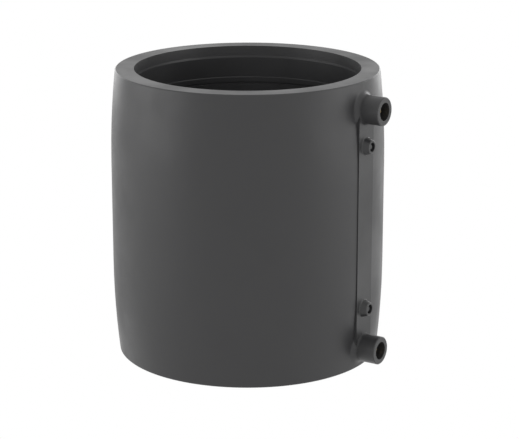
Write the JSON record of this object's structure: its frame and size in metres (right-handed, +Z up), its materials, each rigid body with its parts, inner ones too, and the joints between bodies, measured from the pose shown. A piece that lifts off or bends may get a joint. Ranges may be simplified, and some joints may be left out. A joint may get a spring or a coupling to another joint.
{
  "type": "electrofusion coupler",
  "caption": "Straight sleeve that welds two 125 mm polyethylene pipes end to end: a heating wire in its wall, shrouded terminals and fusion indicators on one side",
  "frame": {"origin": "on the bore axis, in the lower end face that the coupler stands on", "axes": "+Z up along the bore, +X out through the two terminals, which are in one line along Z"},
  "size_m": [0.1662, 0.155, 0.164],
  "materials": {
    "coupler_body": "black moulded polyethylene, satin, with a fine moulded grain",
    "heating_wire": "bright copper-nickel resistance wire",
    "terminal_pin_lower": "turned brass, slightly dulled",
    "terminal_pin_upper": "turned brass, slightly dulled",
    "indicator_lower": "black polyethylene rod",
    "indicator_upper": "black polyethylene rod"
  },
  "bodies": {
    "coupler": {"coupler_body": "coupler_body", "heating_wire": "heating_wire", "terminal_pin_lower": "terminal_pin_lower", "terminal_pin_upper": "terminal_pin_upper"},
    "indicator_lower": {"indicator_lower": "indicator_lower"},
    "indicator_upper": {"indicator_upper": "indicator_upper"}
  },
  "joints": [
    {"name": "lower_indicator_rise", "type": "slide", "parent": "coupler", "child": "indicator_lower", "axis": [1, 0, 0], "range_m": [0, 0.003]},
    {"name": "upper_indicator_rise", "type": "slide", "parent": "coupler", "child": "indicator_upper", "axis": [1, 0, 0], "range_m": [0, 0.003]}
  ]
}
